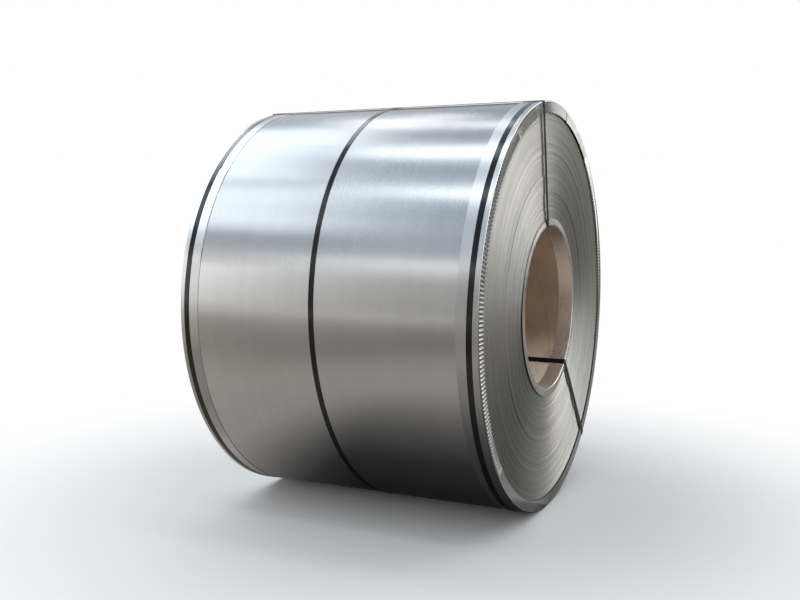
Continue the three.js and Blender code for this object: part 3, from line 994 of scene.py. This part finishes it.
def polar(n, place):
    """Along, radius, and a vector that runs smoothly round the coil, of unit length."""
    x, y, z = n.separate(place)
    up = n.math("SUBTRACT", z, AXIS_HEIGHT)
    flat = n.combine(0.0, y, up)
    radius = n.length(flat)
    unit = n.add("ShaderNodeVectorMath", {0: flat}, operation="NORMALIZE").outputs["Vector"]
    return x, radius, unit


def surface(n, material, settings):
    n.finish(n.add("ShaderNodeBsdfPrincipled", settings))
    return material


def brushed(n, material, color, rough, anisotropic, normal):
    """A metal whose grain runs round the coil."""
    tangent = n.add("ShaderNodeTangent", direction_type="RADIAL", axis="X").outputs[0]
    return surface(n, material, {
        "Base Color": color,
        "Metallic": 1.0,
        "Roughness": rough,
        "Anisotropic": anisotropic,
        "Anisotropic Rotation": 0.25,
        "Normal": normal,
        "Tangent": tangent,
    })


def spread(n, x, unit, along, round_about):
    """A vector for noise that is stretched along the axis or round the coil."""
    _, y, z = n.separate(unit)
    return n.combine(n.times(x, along), n.times(y, round_about), n.times(z, round_about))


def strip_skin():
    """Bright cold-rolled strip: rolling grain round the coil, and a faint waviness."""
    material, n, place = new_material("strip_skin")
    x, _, unit = polar(n, place)
    grain = n.noise(spread(n, x, unit, 300.0, 2.0), 1.0, 3.0, 0.6)
    cloud = n.noise(spread(n, x, unit, 2.2, 3.0), 1.0, 3.0, 0.55)
    streak = n.noise(spread(n, x, unit, 30.0, 0.8), 1.0, 2.0, 0.5)
    wave = n.noise(spread(n, x, unit, 2.0, 2.2), 1.0, 0.0, 0.4)
    tone = n.weigh(cloud, streak, 0.6)
    color = n.ramp(tone, [(0.25, (0.575, 0.58, 0.585)), (0.75, (0.645, 0.65, 0.655))])
    rough = n.remap(n.math("ADD", cloud, n.times(grain, 0.4)), 0.3, 1.1, 0.23, 0.30)
    return brushed(n, material, color, rough, 0.75, n.bump(wave, 0.0007, 1.0))


def crimp_wave(n, share, end):
    """1 on the crimps' valleys and -1 on their ridges, of the ring whose lap ends there."""
    turn = n.times(n.math("SUBTRACT", share, end / 360), 2 * math.pi * FLUTES)
    return n.math("COSINE", turn)


def from_rim(n, radius, first, last, to_low=0.0, to_high=1.0):
    """Changes between two distances in mm outwards from the rim of an outer ring's flange."""
    ends = [(RING_RIM + distance * MM) * FLAT for distance in (first, last)]
    return n.remap(radius, *ends, to_low, to_high)


def painted_crimp_shade(n, x, radius, unit):
    """Painted shade on the coil's end under the corner ring's flange, and at the mouths of the
    near ring's crimps on the +Y side."""
    under = from_rim(n, radius, 0, 2, 0.0, 0.8)
    share = round_share(n, unit)
    mouth = n.remap(crimp_wave(n, share, RING_ENDS["near"]), 0.1, -0.5)
    beside = from_rim(n, radius, -13, -9)
    turned = n.math("FRACT", n.math("ADD", share, -MOUTH_SHADE_START / 360))
    reach = band(n, turned, SHADED_MOUTHS[0] - MOUTH_SHADE_START, SHADED_MOUTHS[1] - MOUTH_SHADE_START)
    reach = n.times(reach, n.math("GREATER_THAN", x, 0.0))
    return n.math("MAXIMUM", under, n.times(n.times(mouth, beside), reach))


def strip_edges():
    """The ends of the coil: the slit edges of the turns, as fine rings, with painted light and
    shade round the coil, and painted shade where the corner ring's flange covers them."""
    material, n, place = new_material("strip_edges")
    x, radius, unit = polar(n, place)
    _, y, z = n.separate(unit)
    ring = n.combine(n.times(radius, 900.0), n.times(y, 0.25), z)
    broad = n.combine(n.times(radius, 120.0), n.times(y, 0.3), z)
    fine = n.noise(ring, 1.0, 3.0, 0.6)
    wide = n.noise(broad, 1.0, 3.0, 0.55)
    tone = n.weigh(fine, wide, 0.6)
    color = n.ramp(tone, [(0.3, (0.66, 0.653, 0.625)), (0.7, (0.90, 0.89, 0.86))])
    proud = n.math("ABSOLUTE", n.math("SUBTRACT", radius, PALE_TURNS))
    pale = n.remap(proud, 0.002, 0.006, 0.5, 0.0)
    color = n.mix(pale, color, (1.0, 0.99, 0.96, 1.0))
    # Painted light and shade round the coil's ends.
    color = n.mix(1.0, color, tones(n, round_share(n, unit), END_TONES), "MULTIPLY")
    # Painted shade under the flange and at the mouths of the near crimps.
    color = n.mix(painted_crimp_shade(n, x, radius, unit), color, (0.02, 0.02, 0.019, 1.0))
    rough = n.remap(fine, 0.3, 0.7, 0.40, 0.50)
    return brushed(n, material, color, rough, 0.8, n.bump(tone, 0.00018, 0.5))


def painted_shade_metal():
    """Near-black metal: painted shade in the gaps under the rings and on their cut edges, where
    little light comes.
    """
    material, n, place = new_material("painted_shade_metal")
    cloud = n.noise(place, 40.0, 3.0, 0.6)
    color = n.ramp(cloud, [(0.3, (0.020, 0.019, 0.017)), (0.7, (0.05, 0.048, 0.043))])
    return surface(n, material, {"Base Color": color, "Metallic": 0.3, "Roughness": 0.6})


def round_share(n, unit):
    """The angle round the coil as a share of a full turn, from 0 to 1."""
    _, y, z = n.separate(unit)
    turns = n.math("DIVIDE", n.math("ARCTAN2", z, y), 2 * math.pi)
    return n.math("FRACT", n.math("ADD", turns, 1.0))


def painted_flute_shade(n, radius, share, end):
    """How much painted shade an outer ring's flange has: in the flutes of the coil's -Y side,
    most of all near its rim, and beside its lap's end."""
    valley = n.remap(crimp_wave(n, share, end), -0.5, 0.9)
    rim = from_rim(n, radius, 14, 7, 0.35, 0.62)
    inside = from_rim(n, radius, 32, 29)
    offset = n.math("FRACT", n.math("ADD", n.math("SUBTRACT", share, end / 360), 1.0))
    (_, lap_to), (plain_from, plain_to), (plain_again, _) = PLAIN
    fluted = n.math("SUBTRACT", 1.0, band(n, offset, plain_from, plain_to))
    first = n.remap(offset, lap_to / 360, (lap_to + 6) / 360)
    last = n.remap(offset, (plain_again + 2) / 360, (plain_again - 2) / 360)
    fluted = n.times(fluted, n.times(first, last))
    fluted = n.times(fluted, band(n, share, *SHADED_FLUTES))
    flute_shade_mask = n.times(n.times(valley, rim), n.times(fluted, inside))
    # Painted shade at the open end of the lap.
    lap = n.math("GREATER_THAN", offset, 1.0 - LAP_SHADE / 360)
    return n.math("MAXIMUM", flute_shade_mask, lap)


def band(n, share, low, high, soft=1.8):
    """1 between two angles, falling off softly outside them. The share is of a full turn."""
    rise = n.remap(share, (low - soft) / 360, low / 360)
    return n.times(rise, n.remap(share, (high + soft) / 360, high / 360))


def galvanised(name, dark, light, low, high, grain=0.0001, metallic=1.0, end=None):
    """Galvanised sheet: small soft spangles, a cloudy tone, and painted light and shade round the
    coil. A flange of a ring, given the angle of its lap's end, also has dull stretches and
    painted shade in its flutes."""
    material, n, place = new_material(name)
    spangle = n.add("ShaderNodeTexVoronoi", {"Vector": place, "Scale": 150.0})
    spangle = n.separate(spangle.outputs["Color"])[0]
    cloud = n.noise(place, 14.0, 4.0, 0.6)
    tone = n.weigh(spangle, cloud, 0.22)
    color = n.ramp(tone, [(0.25, dark), (0.75, light)])
    rough = n.remap(tone, 0.25, 0.75, low, high)
    _, radius, unit = polar(n, place)
    share = round_share(n, unit)
    # Painted light and shade round the coil; a flange has its own at the rim and at the corner.
    shade = tones(n, share, SKIRT_TONES)
    if end is not None:
        out = from_rim(n, radius, 18, 25)
        shade = n.mix(out, tones(n, share, RIM_TONES), tones(n, share, CORNER_TONES))
    color = n.mix(1.0, color, shade, "MULTIPLY")
    if end is not None:
        # Painted shade in the flutes and beside the lap's end.
        flute_shade_mask = painted_flute_shade(n, radius, share, end)
        color = n.mix(flute_shade_mask, color, (0.03, 0.03, 0.027, 1.0))
        dull = band(n, share, *DULL, 14.4)
        rough = n.math("ADD", rough, n.times(dull, 0.20))
        worn = n.times(n.math("SUBTRACT", 1.0, out), band(n, share, *WORN, 7.2))
        rough = n.math("ADD", rough, n.times(worn, 0.14))
    settings = {"Base Color": color, "Metallic": metallic, "Roughness": rough}
    if grain:
        settings["Normal"] = n.bump(cloud, grain, 0.5)
    return surface(n, material, settings)


def tones(n, share, stops):
    """A grey of painted light and shade that changes round the coil, from stops of an angle and a
    tone.
    """
    return n.ramp(share, [(at / 360, (to, to, to * 0.98)) for at, to in stops])


def bore_sheet():
    """The inner rings: smooth sheet, a little rougher in places, painted warm as a reflection of
    the board beside it, and with painted light and shade round the coil.
    """
    material, n, place = new_material("bore_sheet")
    _, radius, unit = polar(n, place)
    share = round_share(n, unit)
    cloud = n.noise(place, 12.0, 2.0, 0.5)
    # Painted reflection: the board beside the sheet makes its colour warm.
    color = n.ramp(cloud, [(0.3, (0.82, 0.745, 0.70)), (0.7, (0.88, 0.805, 0.77))])
    flange = n.remap(radius, INNER_INSIDE + 1.5 * MM, INNER_INSIDE + 3.5 * MM)
    # Painted light and shade round the coil.
    tone = n.mix(flange, tones(n, share, BORE_SKIRT_TONES), tones(n, share, BORE_FLANGE_TONES))
    color = n.mix(1.0, color, tone, "MULTIPLY")
    rough = n.remap(cloud, 0.3, 0.7, 0.26, 0.32)
    return surface(n, material, {"Base Color": color, "Metallic": 0.8, "Roughness": rough})


def strap_paint(name, dark, light, sheen_on_top=False):
    """Glossy dark paint on steel strapping and its seals, dulled in places and scuffed. A strap
    that goes round the coil has a paler painted sheen on its top, most of it on the far one."""
    material, n, place = new_material(name)
    cloud = n.noise(place, 9.0, 3.0, 0.6)
    scuff = n.noise(place, 170.0, 3.0, 0.7)
    worn = n.times(n.remap(scuff, 0.64, 0.78), n.remap(cloud, 0.5, 0.75))
    color = n.mix(n.times(worn, 0.4), (*dark, 1.0), (*light, 1.0))
    # Painted sheen: the top of a strap round the coil is paler, most of all on the far one.
    if sheen_on_top:
        x = n.separate(place)[0]
        far = n.remap(x, -0.4, -0.1, 1.0, 0.0)
        up = n.math("ADD", n.separate(polar(n, place)[2])[2], n.times(far, 0.14))
        top_sheen = n.times(n.remap(up, 0.72, 0.93), n.remap(cloud, 0.3, 0.7, 0.7, 1.0))
        top_sheen = n.times(top_sheen, n.remap(x, 0.1, 0.4, 1.0, 0.5))
        tone = n.mix(far, (0.20, 0.20, 0.205, 1.0), (0.36, 0.365, 0.37, 1.0))
        color = n.mix(top_sheen, color, tone)
    rough = n.remap(cloud, 0.3, 0.7, 0.12, 0.20)
    normal = n.bump(scuff, 0.00003, 0.3)
    return surface(n, material, {"Base Color": color, "Roughness": rough, "Normal": normal})


def helix(n, x, unit, pitch):
    """1 along a line that winds through the bore at the pitch, falling away beside it."""
    _, y, z = n.separate(unit)
    turn = n.times(x, 2 * math.pi / pitch)
    across = n.times(y, n.math("COSINE", turn))
    cosine = n.math("SUBTRACT", across, n.times(z, n.math("SINE", turn)))
    return n.remap(cosine, JOINT_BESIDE, JOINT_ON)


def paperboard():
    """Wound brown board: the spiral joint of its inmost ply, fibres, and painted light in pale
    patches low down.
    """
    material, n, place = new_material("paperboard")
    x, _, unit = polar(n, place)
    fibre = n.noise(place, 420.0, 3.0, 0.6)
    cloud = n.noise(place, 7.0, 4.0, 0.6)
    tone = n.weigh(fibre, cloud, 0.4)
    color = n.ramp(tone, [(0.3, (0.26, 0.165, 0.105)), (0.7, (0.45, 0.31, 0.21))])
    # Painted light: pale patches low down in the bore.
    low = n.times(n.separate(unit)[2], -1.0)
    low_light_patches = n.times(n.remap(low, 0.35, 0.95), n.remap(cloud, 0.2, 0.5))
    color = n.mix(n.times(low_light_patches, 0.95), color, (0.95, 0.80, 0.64, 1.0))
    joint = helix(n, x, unit, JOINT_PITCH)
    color = n.mix(n.times(joint, 0.6), color, (0.08, 0.05, 0.03, 1.0))
    normal = n.bump(n.math("SUBTRACT", fibre, joint), 0.0003, 0.5)
    return surface(n, material, {"Base Color": color, "Roughness": 0.85, "Normal": normal})


# ---------------- all of it


def build():
    make_camera()
    make_world()
    make_lamps()
    make_floor()
    make_flags()
    # Painted shade for what the rings cover, and for their cut edges and backs.
    covered = painted_shade_metal()
    skirt = galvanised("ring_skirt", *SKIRT_SHEET, grain=0.0)
    strap = strap_paint("strap_paint", *STRAP_BLACK)
    girth = strap_paint("girth_paint", *STRAP_BLACK, sheen_on_top=True)
    bore = bore_sheet()
    seal = strap_paint("seal_paint", *SEAL_GREY)
    make_strip(strip_skin(), strip_edges(), covered)
    make_liner(paperboard())
    for name, end in RING_ENDS.items():
        flange = galvanised("ring_flange_" + name, *FLANGE_SHEET, metallic=0.85, end=end)
        make_outer_ring(name, [skirt, flange, covered])
        make_inner_ring(name, [bore, covered])
    for name in GIRTHS:
        make_girth(name, girth)
        make_seal("girth_seal_" + name, GIRTH_WIDTH, girth_seal_place(name), seal)
    for number, angle in EYES.items():
        make_eye(number, strap)
        make_seal("eye_seal_" + number, EYE_WIDTH, eye_seal_place(angle), seal)


bpy.context.scene.view_settings.view_transform = "Standard"
build()
